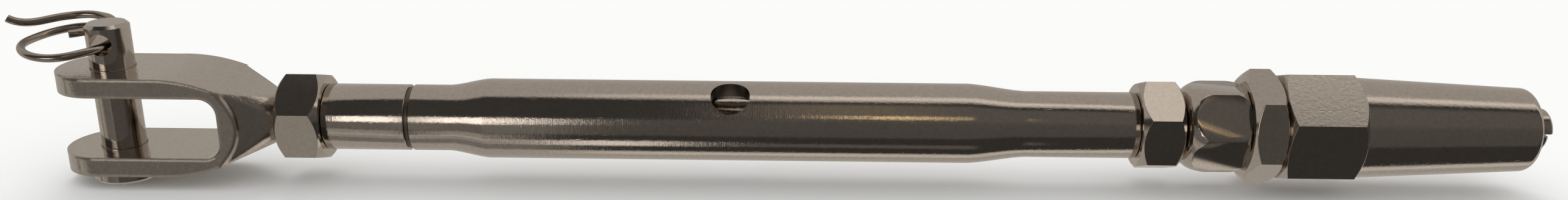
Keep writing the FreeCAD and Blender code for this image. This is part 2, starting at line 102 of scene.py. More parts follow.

# The dark strip of painted shade on the groove's floor: its gap to the walls, its rise and its depth.
STRIP_GAP = 0.02 * MM
STRIP_RISE = 0.03 * MM
STRIP_DEPTH = 0.20 * MM

# Thread form, in shares of the pitch: its depth, and where root ends, crest starts and crest ends.
THREAD_DEPTH = 0.6134
ROOT_END, CREST_START, CREST_END = 0.25, 0.5625, 0.6875

# Turns that a thread is longer by at each end, before it is cut to its length.
SPARE_TURNS = 2

# How far the turned form of the domed hexagon stands out past its corners.
CORNER_SPARE = 0.06 * MM


# Measures from the imported solids


def left_end(node):
    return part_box(node)[0].x


def right_end(node):
    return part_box(node)[1].x


# Settings


def length(name, millimetres, description):
    return bpy.props.FloatProperty(
        name=name,
        description=description,
        default=millimetres * MM,
        subtype="DISTANCE",
        unit="LENGTH",
    )


def angle(name, degrees, description):
    return bpy.props.FloatProperty(
        name=name,
        description=description,
        default=math.radians(degrees),
        subtype="ANGLE",
        unit="ROTATION",
    )


def colour(name, default, description):
    return bpy.props.FloatVectorProperty(
        name=name,
        description=description,
        default=default,
        size=3,
        min=0.0,
        max=1.0,
        subtype="COLOR",
    )


class TurnbuckleSizes(bpy.types.PropertyGroup):
    """Sizes of the details that the solids leave plain."""

    neck_radius: length("Barrel neck radius", 6.3, "Outer radius of the threaded necks")
    middle_radius: length("Barrel middle radius", 7.6, "Outer radius between the tapers")
    bore_radius: length("Barrel bore radius", 4.7, "Radius of the bore between the two threads")
    left_neck: length("Left neck length", 23.4, "Length of the barrel's left neck")
    left_taper: length("Left taper length", 7.6, "Length of the barrel's left shoulder")
    right_neck: length("Right neck length", 21.0, "Length of the barrel's right neck")
    right_taper: length("Right taper length", 11.0, "Length of the barrel's right shoulder")
    neck_thread: length("Neck thread length", 24.0, "Length of the thread in each neck")
    mark_offset: length("Mark groove offset", 15.6, "From the barrel's left end to its mark groove")
    mark_width: length("Mark groove width", 0.9, "Width of the groove that marks the left hand end")
    mark_depth: length("Mark groove depth", 0.45, "Depth of the groove that marks the left hand end")
    cross_hole_radius: length("Cross hole radius", 3.7, "Radius of the hole for a tommy bar")
    cross_hole_turn: angle("Cross hole turn", 34, "Angle of the cross hole from upright")
    stud_radius: length("Stud radius", 4.0, "Outer radius of both threaded studs")
    pitch: length("Thread pitch", 1.25, "Distance between two crests of the stud threads")
    hexagon_flats: length("Domed hexagon width", 15.4, "Width across the domed hexagon's flats")
    hexagon_turn: angle("Domed hexagon turn", -0.4, "Angle from the front to its nearest corner")
    dome_radius: length("Dome mouth radius", 5.2, "Radius of the domed hexagon at the stud")
    dome_length: length("Dome length", 5.6, "Length of the hexagon's rounding at the stud")
    rim_radius: length("Rim radius", 7.7, "Radius of the domed hexagon at its lock nut")
    rim_length: length("Rim length", 3.4, "Length of the hexagon's rounding at its lock nut")
    forged_edge: length("Forged edge", 1.1, "Most that the fork's edges are bevelled")
    machined_edge: length("Machined edge", 0.22, "Most that nuts, pin, hexagon and sleeve are bevelled")
    jaw_edge: length("Jaw edge", 0.15, "Most that the jaws' edges are bevelled")


class TurnbuckleFinishes(bpy.types.PropertyGroup):
    """Colours of the metal finishes."""

    polished: colour("Polished steel", (0.60, 0.545, 0.485), "Colour of the barrel and the sleeve")
    machined: colour("Machined steel", (0.58, 0.525, 0.465), "Colour of the nuts, studs, pin and jaws")
    forged: colour("Forged steel", (0.60, 0.545, 0.48), "Colour of the fork")
    wire: colour("Ring wire", (0.46, 0.405, 0.345), "Colour of the split ring and the spring")
    # A dark colour painted into the cross hole and the mark groove as shade.
    bore: colour("Unpolished bore", (0.20, 0.17, 0.145), "Colour of the cross hole and the mark")


class TurnbuckleStage(bpy.types.PropertyGroup):
    """Floor, light and camera."""

    floor: colour("Floor", (0.93, 0.93, 0.925), "Colour of the floor")
    dome: colour("Dome", (0.92, 0.92, 0.915), "Plain light that falls on the floor from all round")
    room: colour("Room", (1.0, 0.935, 0.865), "Cast of the room that the metal reflects")
    lamp: colour("Lamp", (1.0, 0.72, 0.36), "Colour of the small lamp that the barrel reflects")
    camera_station: length("Camera station", 126.5, "Station along the axis that the camera faces")
    camera_distance: length("Camera distance", 259.6, "Distance from the camera to that station")
    camera_elevation: angle("Camera elevation", 18.917, "Angle of the camera above the horizon")
    camera_azimuth: angle("Camera azimuth", 0.478, "Angle of the camera round the upright axis")
    camera_roll: angle("Camera roll", 0.493, "Turn of the camera about its line of sight")
    camera_lens: bpy.props.FloatProperty(
        name="Camera lens",
        description="Focal length in millimetres, for a picture 36 mm wide",
        default=31.04,
        min=1.0,
    )


# Node helpers


def join(tree, source, target):
    tree.links.new(source, target)


def feed(tree, entry, slot):
    """Give an input a number, or a link from another node's output."""
    if isinstance(entry, (int, float)):
        slot.default_value = entry
    else:
        join(tree, entry, slot)


def math_node(tree, operation, first, second):
    node = tree.nodes.new("ShaderNodeMath")
    node.operation = operation
    for slot, entry in zip(node.inputs, (first, second)):
        feed(tree, entry, slot)
    return node.outputs[0]


def noise_node(tree, vector, scale, detail=3.0, rough=0.55):
    node = tree.nodes.new("ShaderNodeTexNoise")
    join(tree, vector, node.inputs["Vector"])
    feed(tree, scale, node.inputs["Scale"])
    node.inputs["Detail"].default_value = detail
    node.inputs["Roughness"].default_value = rough
    return node.outputs["Fac"]


def cell_node(tree, vector, scale, feature="F1"):
    """Distances of a pattern of cells."""
    node = tree.nodes.new("ShaderNodeTexVoronoi")
    node.feature = feature
    join(tree, vector, node.inputs["Vector"])
    node.inputs["Scale"].default_value = scale
    return node.outputs["Distance"]


def range_node(tree, fac, low, high, to_low=0.0, to_high=1.0):
    node = tree.nodes.new("ShaderNodeMapRange")
    join(tree, fac, node.inputs["Value"])
    node.inputs["From Min"].default_value = low
    node.inputs["From Max"].default_value = high
    node.inputs["To Min"].default_value = to_low
    node.inputs["To Max"].default_value = to_high
    return node.outputs["Result"]


def stretch_node(tree, vector, scale):
    node = tree.nodes.new("ShaderNodeMapping")
    join(tree, vector, node.inputs["Vector"])
    node.inputs["Scale"].default_value = scale
    return node.outputs["Vector"]


def bump_node(tree, height, depth, strength, under=None):
    """A bump that lies on top of another normal where one is given."""
    node = tree.nodes.new("ShaderNodeBump")
    node.inputs["Distance"].default_value = depth
    node.inputs["Strength"].default_value = strength
    join(tree, height, node.inputs["Height"])
    if under:
        join(tree, under, node.inputs["Normal"])
    return node.outputs["Normal"]


def rounded_edges(tree, radius):
    """A normal that turns softly over every edge, as on a tumbled forging."""
    node = tree.nodes.new("ShaderNodeBevel")
    node.samples = 6
    node.inputs["Radius"].default_value = radius
    return node.outputs["Normal"]


def blend_node(tree, factor, first, second):
    """A mix of two colours, the second one given as a colour or as an output."""
    node = tree.nodes.new("ShaderNodeMix")
    node.data_type = "RGBA"
    join(tree, factor, node.inputs["Factor"])
    node.inputs["A"].default_value = (*first, 1.0)
    if isinstance(second, bpy.types.NodeSocket):
        join(tree, second, node.inputs["B"])
    else:
        node.inputs["B"].default_value = (*second, 1.0)
    return node.outputs["Result"]


def tinted(tree, cast, level):
    """A colour scaled by a level from another node."""
    node = tree.nodes.new("ShaderNodeVectorMath")
    node.operation = "SCALE"
    node.inputs["Vector"].default_value = cast
    join(tree, level, node.inputs["Scale"])
    return node.outputs["Vector"]


def new_group(name, inputs, outputs):
    """An empty shader node group, with a default for each named input."""
    group = bpy.data.node_groups.new(name, "ShaderNodeTree")
    for label, default in inputs:
        made = group.interface.new_socket(
            name=label, in_out="INPUT", socket_type="NodeSocketFloat"
        )
        made.default_value = default
    for label in outputs:
        group.interface.new_socket(
            name=label, in_out="OUTPUT", socket_type="NodeSocketFloat"
        )
    start = group.nodes.new("NodeGroupInput")
    end = group.nodes.new("NodeGroupOutput")
    return group, start.outputs, end.inputs


def place_group(tree, group, **values):
    node = tree.nodes.new("ShaderNodeGroup")
    node.node_tree = group
    for name, entry in values.items():
        node.inputs[name].default_value = entry
    return node


def object_place(tree):
    return tree.nodes.new("ShaderNodeTexCoord").outputs["Object"]


# Surface patterns


def turned_grain(name):
    """Fine rings left by turning and polishing about the long axis."""
    inputs = (("Rings", 5200.0), ("Streak", 0.5))
    group, given, result = new_group(name, inputs, ("Height", "Mask"))
    place = object_place(group)
    along = stretch_node(group, place, (1.0, 0.012, 0.012))
    fine = noise_node(group, along, given["Rings"], detail=2.0, rough=0.6)
    broad_along = stretch_node(group, place, (1.0, 0.05, 0.05))
    coarse = noise_node(group, broad_along, 900.0, detail=2.0)
    streaks = math_node(group, "MULTIPLY", coarse, given["Streak"])
    join(group, math_node(group, "ADD", fine, streaks), result["Height"])
    join(group, range_node(group, coarse, 0.3, 0.7), result["Mask"])
    return group


def handled_wear(name):
    """Smears, light scratches and dull patches of a fitting that was handled."""
    inputs = (("Patch", 55.0), ("Scratch", 0.5))
    group, given, result = new_group(name, inputs, ("Dull", "Tint", "Height"))
    place = object_place(group)
    broad = noise_node(group, place, given["Patch"], detail=4.0, rough=0.6)
    speck = noise_node(group, place, 1400.0, rough=0.65)
    dull = range_node(group, broad, 0.38, 0.68)
    cells = stretch_node(group, place, (0.35, 1.0, 1.0))
    borders = cell_node(group, cells, 260.0, feature="DISTANCE_TO_EDGE")
    lines = range_node(group, borders, 0.0, 0.035, 1.0, 0.0)
    gate = range_node(group, speck, 0.52, 0.60)
    scratch = math_node(group, "MULTIPLY", lines, gate)
    scratch = math_node(group, "MULTIPLY", scratch, given["Scratch"])
    join(group, math_node(group, "MAXIMUM", dull, scratch), result["Dull"])
    join(group, range_node(group, speck, 0.3, 0.75), result["Tint"])
    join(group, math_node(group, "SUBTRACT", speck, scratch), result["Height"])
    return group


def forged_skin(name):
    """Uneven skin of a tumbled forging, with shallow pits."""
    inputs = (("Scale", 420.0), ("Pits", 0.6))
    group, given, result = new_group(name, inputs, ("Height", "Mask"))
    place = object_place(group)
    waves = noise_node(group, place, given["Scale"], detail=4.0, rough=0.6)
    hollow = range_node(group, cell_node(group, place, 1500.0), 0.0, 0.35)
    hollow = math_node(group, "MULTIPLY", hollow, given["Pits"])
    join(group, math_node(group, "ADD", waves, hollow), result["Height"])
    join(group, range_node(group, waves, 0.35, 0.65), result["Mask"])
    return group


PATTERNS = {
    "Turned grain": turned_grain,
    "Handled wear": handled_wear,
    "Forged skin": forged_skin,
}


def pattern(name):
    """A surface pattern, made once and found again by name."""
    return bpy.data.node_groups.get(name) or PATTERNS[name](name)


# Finishes

# Smooth and dull are the roughness of clean and of worn metal, and depth is that of the bumps.
# Edge is the radius over which the shading rounds the edges of a forging.
METALS = {
    "polished": {
        "name": "Polished steel",
        "smooth": 0.07,
        "dull": 0.12,
        "depth": 0.04 * MM,
        "skin": "Turned grain",
        "skin_strength": 0.16,
        "wear_strength": 0.42,
    },
    "machined": {
        "name": "Machined steel",
        "smooth": 0.07,
        "dull": 0.14,
        "depth": 0.02 * MM,
        "skin": "Turned grain",
        "skin_strength": 0.14,
        "wear_strength": 0.20,
    },
    "forged": {
        "name": "Forged steel",
        "smooth": 0.09,
        "dull": 0.18,
        "depth": 0.06 * MM,
        "skin": "Forged skin",
        "skin_strength": 0.46,
        "wear_strength": 0.20,
        "edge": 0.9 * MM,
    },
    "wire": {
        "name": "Ring wire",
        "smooth": 0.16,
        "dull": 0.30,
        "depth": 0.03 * MM,
        "skin": "Forged skin",
        "skin_strength": 0.30,
        "wear_strength": 0.25,
    },
    # Its dark colour is painted shade in the cross hole and the mark groove; its roughness is that of
    # an unpolished wall.
    "bore": {
        "name": "Unpolished bore",
        "smooth": 0.30,
        "dull": 0.45,
        "depth": 0.03 * MM,
        "skin": "Turned grain",
        "skin_strength": 0.30,
        "wear_strength": 0.25,
    },
}

# Share of the colour in the dark specks, and share of the skin's mask in the dull patches.
DARK_SPECK = 0.84
SKIN_DULL = 0.35


def new_metal(cast, name, smooth, dull, depth, skin, skin_strength, wear_strength, edge=0.0):
    """Metal with a patterned skin, under specks, scratches and dull patches."""
    material = bpy.data.materials.new(name)
    material.use_nodes = True
    material.diffuse_color = (*cast, 1.0)
    tree = material.node_tree
    shader = tree.nodes["Principled BSDF"]
    shader.inputs["Metallic"].default_value = 1.0
    wear = place_group(tree, pattern("Handled wear"))
    under = place_group(tree, pattern(skin))
    dark = tuple(channel * DARK_SPECK for channel in cast)
    speckled = blend_node(tree, wear.outputs["Tint"], dark, cast)
    join(tree, speckled, shader.inputs["Base Color"])
    patches = math_node(tree, "MULTIPLY", under.outputs["Mask"], SKIN_DULL)
    patches = math_node(tree, "MAXIMUM", wear.outputs["Dull"], patches)
    rough = range_node(tree, patches, 0.0, 1.0, smooth, dull)
    join(tree, rough, shader.inputs["Roughness"])
    normal = rounded_edges(tree, edge) if edge else None
    normal = bump_node(tree, under.outputs["Height"], depth, skin_strength, normal)
    normal = bump_node(tree, wear.outputs["Height"], depth, wear_strength, normal)
    join(tree, normal, shader.inputs["Normal"])
    return material


def metal(key):
    """A metal finish, made once and found again by name."""
    look = METALS[key]
    made = bpy.data.materials.get(look["name"])
    return made or new_metal(getattr(bpy.context.scene.turnbuckle_finishes, key), **look)


# Modelling helpers


def deselect():
    if bpy.context.object and bpy.context.object.mode != "OBJECT":
        bpy.ops.object.mode_set(mode="OBJECT")
    bpy.ops.object.select_all(action="DESELECT")


def select(piece):
    deselect()
    piece.select_set(True)
    bpy.context.view_layer.objects.active = piece


def edit(piece):
    select(piece)
    bpy.ops.object.mode_set(mode="EDIT")
    bpy.ops.mesh.select_all(action="SELECT")


def leave_edit():
    bpy.ops.object.mode_set(mode="OBJECT")


def trace(name, points):
    """A line of edges through the points, given as stations along X and radii."""
    deselect()
    bpy.ops.mesh.primitive_plane_add(size=MM)
    piece = bpy.context.object
    piece.name = name
    piece.data.name = name
    bpy.ops.object.mode_set(mode="EDIT")
    bpy.ops.mesh.select_all(action="SELECT")
    bpy.ops.mesh.merge(type="CENTER")
    bpy.ops.transform.translate(value=(points[0][0], points[0][1], 0.0))
    for (x, r), (next_x, next_r) in zip(points, points[1:]):
        bpy.ops.mesh.extrude_vertices_move(
            TRANSFORM_OT_translate={"value": (next_x - x, next_r - r, 0.0)}
        )
    bpy.ops.mesh.select_all(action="SELECT")
    return piece


def turned(name, points, steps=128):
    """A closed outline spun about the long axis."""
    piece = trace(name, points + points[:1])
    bpy.ops.mesh.remove_doubles(threshold=SAME_POINT)
    bpy.ops.mesh.select_all(action="SELECT")
    bpy.ops.mesh.spin(
        steps=steps, angle=2 * math.pi, center=(0, 0, 0), axis=(1, 0, 0), use_auto_merge=True
    )
    bpy.ops.mesh.select_all(action="SELECT")
    bpy.ops.mesh.remove_doubles(threshold=SAME_POINT)
    bpy.ops.mesh.normals_make_consistent(inside=False)
    leave_edit()
    return piece


def bent(start, end, low, high, steps=14):
    """A quarter of an ellipse from a low radius at start to a high one at end."""
    points = []
    for k in range(steps + 1):
        turn = math.pi / 2 * k / steps
        x = end + (start - end) * math.cos(turn)
        points.append((x, low + (high - low) * math.sin(turn)))
    return points


def swaged(start, end, radius, last_radius):
    """A shoulder between a straight taper and a smooth step."""
    points = []
    for k in range(SHOULDER_STEPS + 1):
        share = k / SHOULDER_STEPS
        step = share * share * (3 - 2 * share)
        mix = SHOULDER_BLEND * step + (1 - SHOULDER_BLEND) * share
        points.append((start + (end - start) * share, radius + (last_radius - radius) * mix))
    return points


def apply_modifier(piece, kind, **settings):
    select(piece)
    made = piece.modifiers.new(kind.title(), kind)
    for key, entry in settings.items():
        setattr(made, key, entry)
    bpy.ops.object.modifier_apply(modifier=made.name)


def smooth(piece, degrees=30):
    select(piece)
    bpy.ops.object.shade_smooth_by_angle(angle=math.radians(degrees))


def solid_copy(node, name):
    """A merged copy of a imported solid, with flat faces joined up."""
    deselect()
    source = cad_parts[node]
    piece = source.copy()
    piece.data = source.data.copy()
    piece.name = name
    piece.data.name = name
    piece.parent = None
    for key in list(piece.keys()):
        del piece[key]
    bpy.context.scene.collection.objects.link(piece)
    edit(piece)
    bpy.ops.mesh.customdata_custom_splitnormals_clear()
    bpy.ops.mesh.remove_doubles(threshold=SAME_SOLID_POINT)
    bpy.ops.mesh.select_all(action="SELECT")
    bpy.ops.mesh.dissolve_limited(angle_limit=math.radians(0.2))
    leave_edit()
    return piece


def soften(piece, width, segments=3, degrees=28):
    """Bevel the edges of a piece and leave its flats shaded flat."""
    select(piece)
    bpy.ops.object.shade_smooth()
    apply_modifier(
        piece,
        "BEVEL",
        width=width,
        segments=segments,
        limit_method="ANGLE",
        angle_limit=math.radians(degrees),
        miter_outer="MITER_ARC",
        harden_normals=True,
    )


def cut_off(piece, station, keep_left):
    """Cut a piece across the long axis and close the cut."""
    edit(piece)
    bpy.ops.mesh.bisect(
        plane_co=(station, 0, 0),
        plane_no=(1, 0, 0),
        use_fill=True,
        clear_inner=not keep_left,
        clear_outer=keep_left,
    )
    leave_edit()


def threaded(name, start, end, left_hand):
    """A stud with a real screw thread between two stations."""
    sizes = bpy.context.scene.turnbuckle_sizes
    pitch = sizes.pitch
    crest = sizes.stud_radius
    root = crest - THREAD_DEPTH * pitch
    first = start - SPARE_TURNS * pitch
    outline = [
        (first, root),
        (first + ROOT_END * pitch, root),
        (first + CREST_START * pitch, crest),
        (first + CREST_END * pitch, crest),
        (first + pitch, root),
    ]
    piece = trace(name, outline)
    leave_edit()
    apply_modifier(
        piece,
        "SCREW",
        axis="X",
        angle=2 * math.pi * (-1 if left_hand else 1),
        screw_offset=pitch,
        iterations=math.ceil((end - start) / pitch) + 2 * SPARE_TURNS,
        steps=32,
        render_steps=32,
        use_merge_vertices=True,
        merge_threshold=SAME_POINT,
        use_normal_calculate=True,
    )
    cut_off(piece, start, keep_left=False)
    cut_off(piece, end, keep_left=True)
    edit(piece)
    bpy.ops.mesh.normals_make_consistent(inside=False)
    leave_edit()
    smooth(piece, degrees=20)
    return piece


def coat(piece, key):
    """Give a whole piece one metal."""
    piece.data.materials.clear()
    piece.data.materials.append(metal(key))


def finish(piece, body, node):
    """Hide the solid that a piece stands for, and give the piece its body."""
    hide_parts(node)
    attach(piece, body)


def dress(node, key):
    """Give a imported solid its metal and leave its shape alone."""
    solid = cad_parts[node]
    if not solid.material_slots:
        solid.data.materials.append(metal(key))
    for place in solid.material_slots:
        place.material = metal(key)


# Pieces


class TURNBUCKLE_OT_barrel(bpy.types.Operator):
    """Turned and polished closed body, with its mark groove and cross hole"""

    bl_idname = "turnbuckle.barrel"
    bl_label = "Barrel"

    def execute(self, context):
        sizes = context.scene.turnbuckle_sizes
        start, end = left_end("barrel"), right_end("barrel")
        middle = (start + end) / 2
        mark = start + sizes.mark_offset
        far = mark + sizes.mark_width
        floor = sizes.neck_radius - sizes.mark_depth
        outline = self.left_neck(start, mark, far, floor, sizes)
        outline += self.shoulders(start, middle, end, sizes)
        outline += self.right_neck_and_bore(start, end, sizes)
        barrel = turned("barrel_polished", outline)
        barrel.data.materials.append(metal("polished"))
        self.drill(barrel, middle, sizes)
        smooth(barrel, degrees=32)
        finish(barrel, "barrel", "barrel")
        self.paint_groove_shade(mark, far, floor)
        return {"FINISHED"}

    def left_neck(self, start, mark, far, floor, sizes):
        """The left mouth, and the neck up to the far side of its mark groove."""
        neck = sizes.neck_radius
        thread = sizes.stud_radius + THREAD_CLEARANCE
        along, down = MOUTH_ROUND
        points = [
            (start, thread + MOUTH_EDGE),
            (start, neck - MOUTH_EDGE),
            (start + along, neck - down),
            (start + MOUTH_EDGE, neck),
        ]
        points += [(mark + along, neck - down) for along, down in LEFT_LIP]
        points += [(mark + LEFT_FOOT, floor), (far - RIGHT_FOOT, floor)]
        points += [(far + along, neck - down) for along, down in RIGHT_LIP]
        return points

    def shoulders(self, start, middle, end, sizes):
        """Both shoulders, with the rings of points round the cross hole between them."""
        neck, full = sizes.neck_radius, sizes.middle_radius
        left, right = start + sizes.left_neck, end - sizes.right_neck
        points = swaged(left, left + sizes.left_taper, neck, full)
        points += [(middle - HOLE_RINGS, full), (middle + HOLE_RINGS, full)]
        points += swaged(right - sizes.right_taper, right, full, neck)
        return points

    def right_neck_and_bore(self, start, end, sizes):
        """The right mouth, and back through both threads and the bore between them."""
        neck = sizes.neck_radius
        thread = sizes.stud_radius + THREAD_CLEARANCE
        relief = sizes.bore_radius
        along, down = MOUTH_ROUND
        return [
            (end - MOUTH_EDGE, neck),
            (end - along, neck - down),
            (end, neck - MOUTH_EDGE),
            (end, thread + MOUTH_EDGE),
            (end - MOUTH_EDGE, thread),
            (end - sizes.neck_thread, thread),
            (end - sizes.neck_thread, relief),
            (start + sizes.neck_thread, relief),
            (start + sizes.neck_thread, thread),
            (start + MOUTH_EDGE, thread),
        ]

    def paint_groove_shade(self, mark, far, floor):
        """A dark strip of painted shade on the floor of the mark groove."""
        left, right = mark + LEFT_FOOT + STRIP_GAP, far - RIGHT_FOOT - STRIP_GAP
        below, above = floor - STRIP_DEPTH, floor + STRIP_RISE
        outline = [(left, below), (left, above), (right, above), (right, below)]
        strip = turned("mark_groove_floor", outline)
        smooth(strip)
        # The strip's dark metal is painted shade in the groove.
        coat(strip, "bore")
        finish(strip, "barrel", "barrel")

    def drill(self, barrel, middle, sizes):
        """The cross hole, right through, with its wall dark as painted shade."""
        deselect()
        bpy.ops.mesh.primitive_cylinder_add(
            vertices=64, radius=sizes.cross_hole_radius, depth=DRILL_LENGTH
        )
        drill = bpy.context.object
        drill.name = "cross_hole_drill"
        # The drill's dark metal passes to the hole's wall as painted shade.
        drill.data.materials.append(metal("bore"))
        edit(drill)
        bpy.ops.transform.rotate(
            value=-sizes.cross_hole_turn, orient_axis="X", center_override=(0, 0, 0)
        )
        bpy.ops.transform.translate(value=(middle, 0, 0))
        leave_edit()
        apply_modifier(
            barrel,
            "BOOLEAN",
            operation="DIFFERENCE",
            object=drill,
            solver="EXACT",
            material_mode="TRANSFER",
        )
        bpy.data.objects.remove(drill)


class TURNBUCKLE_OT_fork(bpy.types.Operator):
    """Forged fork with rounded ears, and its left hand threaded stud"""

    bl_idname = "turnbuckle.fork"
    bl_label = "Fork and stud"

    def execute(self, context):
        neck_end = left_end("left_lock_nut") - FORK_TO_NUT
        head = solid_copy("fork", "fork_forging")
        cut_off(head, neck_end, keep_left=True)
        soften(head, context.scene.turnbuckle_sizes.forged_edge, segments=4)
        coat(head, "forged")
        finish(head, "fork", "fork")
        stud = threaded("fork_stud", neck_end, right_end("fork"), left_hand=True)
        coat(stud, "machined")
        finish(stud, "fork", "fork")
        return {"FINISHED"}


class TURNBUCKLE_OT_pin(bpy.types.Operator):
    """Headed clevis pin with its cross hole"""

    bl_idname = "turnbuckle.pin"
    bl_label = "Clevis pin"

    def execute(self, context):
        pin = solid_copy("clevis_pin", "clevis_pin_turned")
        soften(pin, context.scene.turnbuckle_sizes.machined_edge)
        coat(pin, "machined")
        finish(pin, "clevis_pin", "clevis_pin")
        return {"FINISHED"}


class TURNBUCKLE_OT_ring(bpy.types.Operator):
    """Split ring in drawn wire"""

    bl_idname = "turnbuckle.ring"
    bl_label = "Split ring"

    def execute(self, context):
        dress("split_ring", "wire")
        return {"FINISHED"}


class TURNBUCKLE_OT_spring(bpy.types.Operator):
    """Jaw spring in drawn wire"""

    bl_idname = "turnbuckle.spring"
    bl_label = "Jaw spring"

    def execute(self, context):
        coil = solid_copy("jaw_spring", "jaw_spring_coil")
        smooth(coil, degrees=60)
        coat(coil, "wire")
        finish(coil, "terminal", "jaw_spring")
        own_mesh(coil)
        return {"FINISHED"}


class TURNBUCKLE_OT_nuts(bpy.types.Operator):
    """The two lock nuts of the barrel and the lock nut of the terminal"""

    bl_idname = "turnbuckle.nuts"
    bl_label = "Lock nuts"

    def execute(self, context):
        for node, body in (
            ("left_lock_nut", "left_lock_nut"),
            ("right_lock_nut", "right_lock_nut"),
            ("terminal_lock_nut", "terminal"),
        ):
            nut = solid_copy(node, f"{node}_hexagon")
            soften(nut, context.scene.turnbuckle_sizes.machined_edge)
            coat(nut, "machined")
            finish(nut, body, node)
        return {"FINISHED"}


class TURNBUCKLE_OT_terminal(bpy.types.Operator):
    """Domed hexagon, its right hand threaded stud and the socket sleeve"""

    bl_idname = "turnbuckle.terminal"
    bl_label = "Terminal"

    def execute(self, context):
        sizes = context.scene.turnbuckle_sizes
        face = right_end("right_lock_nut") + NUT_TO_HEXAGON
        shoulder = left_end("terminal_lock_nut")
        spigot = solid_copy("terminal_stud", "terminal_spigot")
        cut_off(spigot, shoulder, keep_left=False)
        coat(spigot, "machined")
        finish(spigot, "terminal", "terminal_stud")
        self.dome_hexagon(face, shoulder, sizes)
        stud = threaded("terminal_threads", left_end("terminal_stud"), face, left_hand=False)
        coat(stud, "machined")
        finish(stud, "terminal", "terminal_stud")
        sleeve = solid_copy("terminal_sleeve", "terminal_socket")
        soften(sleeve, sizes.machined_edge)
        coat(sleeve, "polished")
        finish(sleeve, "terminal", "terminal_sleeve")
        return {"FINISHED"}

    def dome_hexagon(self, face, shoulder, sizes):
        """A hexagon turned down to a ball at the stud and to a round rim at the nut."""
        full = sizes.hexagon_flats / math.sqrt(3) + CORNER_SPARE
        ball_end = face + sizes.dome_length
        rim_start = shoulder - sizes.rim_length
        outline = [(face, 0.0)]
        outline += bent(face, ball_end, sizes.dome_radius, full)
        outline += reversed(bent(shoulder, rim_start, sizes.rim_radius, full))
        outline.append((shoulder, 0.0))
        head = turned("terminal_domed_hexagon", outline, steps=144)
        bar = self.hexagon_bar(face, shoulder, sizes)
        apply_modifier(head, "BOOLEAN", operation="INTERSECT", object=bar)
        bpy.data.objects.remove(bar)
        soften(head, sizes.machined_edge, degrees=35)
        coat(head, "machined")
        finish(head, "terminal", "terminal_stud")

    def hexagon_bar(self, face, shoulder, sizes):
        """A longer bar of the hexagon's size, turned to its corner angle."""
        deselect()
        bpy.ops.mesh.primitive_cylinder_add(
            vertices=6,
            radius=sizes.hexagon_flats / math.sqrt(3),
            depth=(shoulder - face) * 1.5,
            rotation=(0, math.pi / 2, 0),
            location=((face + shoulder) / 2, 0, 0),
        )
        bar = bpy.context.object
        bar.name = "hexagon_bar"
        bpy.ops.object.transform_apply(location=True, rotation=True, scale=True)
        corner = min(bar.data.vertices, key=lambda vertex: vertex.co.y).co
        corner_turn = math.atan2(corner.z, -corner.y)
        edit(bar)
        bpy.ops.transform.rotate(
            value=sizes.hexagon_turn - corner_turn, orient_axis="X", center_override=(0, 0, 0)
        )
        leave_edit()
        return bar


class TURNBUCKLE_OT_jaws(bpy.types.Operator):
    """Three wedge jaws and their guide disc"""

    bl_idname = "turnbuckle.jaws"
    bl_label = "Jaws"

    def execute(self, context):
        for node in ("jaw_upper", "jaw_rear", "jaw_lower"):
            jaw = solid_copy(node, f"{node}_wedge")
            soften(jaw, context.scene.turnbuckle_sizes.jaw_edge, segments=2)
            coat(jaw, "machined")
            finish(jaw, "jaws", node)
        dress("jaw_plunger", "machined")
        return {"FINISHED"}


# Stage

# Panels of the room that the metal reflects. After its name, a panel has its low and high
# edge and their softness, in degrees round the long axis from the viewer's side over the top,
# its left and right end, as shares of the direction along that axis, and its level.
ROOM_PANELS = (
    ("ceiling", 84, 400, 6, -2.0, 2.0, 0.44),
    ("ceiling edge", 79, 97, 5, -0.20, 2.0, 0.26),
    ("ceiling edge, right", 77, 95, 4, -0.05, 2.0, 0.22),
    ("far wall", 20, 68, 8, -0.05, 2.0, 0.085),
    ("near wall", -28, 20, 6, -2.0, 2.0, 0.055),
    ("near wall, left", -28, 20, 6, -0.33, -0.22, 0.13),
    ("near wall, far left", -28, 8, 6, -2.0, -0.33, 0.09),
    ("window", 0, 19, 4, -0.66, -0.31, 1.90),
    ("window edge", 2, 18, 4, -0.31, -0.225, 0.75),
    ("table front, left", -50, -30, 6, -2.0, -0.27, 0.34),
    ("table line, left", -63, -47, 4, -2.0, -0.22, 0.34),
    ("table line", -63, -46, 4, -0.22, -0.09, 1.05),
    ("table line, right", -62, -50, 4, -0.03, 0.27, 0.09),
    ("table gap, left", -84, -63, 5, -2.0, -0.20, 0.20),
    ("table", -400, -84, 4, -2.0, 2.0, 0.44),
    ("table edge", -101, -88, 5, -0.18, 2.0, 0.28),
)
LAMP_PANELS = (
    ("lamp", 27, 36, 3, 0.075, 0.17, 1.20),
    ("lamp glow", 36, 72, 10, 0.00, 0.15, 0.07),
    ("lamp, again", 28, 36, 3, 0.20, 0.25, 0.30),
)

# Level of the room where no panel hangs, and how softly a panel ends along the axis.
ROOM_GLOW = 0.05
PANEL_END = 0.03

FLOOR_SIZE = 12.0

# The lamp behind the object: its strength, its spread in degrees and where it shines.
WINDOW_STRENGTH = 0.5
WINDOW_SPREAD = 25
WINDOW_AIM = Vector((0.10, -0.6, -1.0))

# Width of the camera's picture in millimetres, how far it is shifted, and what it sees.
PICTURE_WIDTH = 36.0
PICTURE_SHIFT = (0.0046, 0.01346)
NEAREST, FARTHEST = 0.01, 50.0


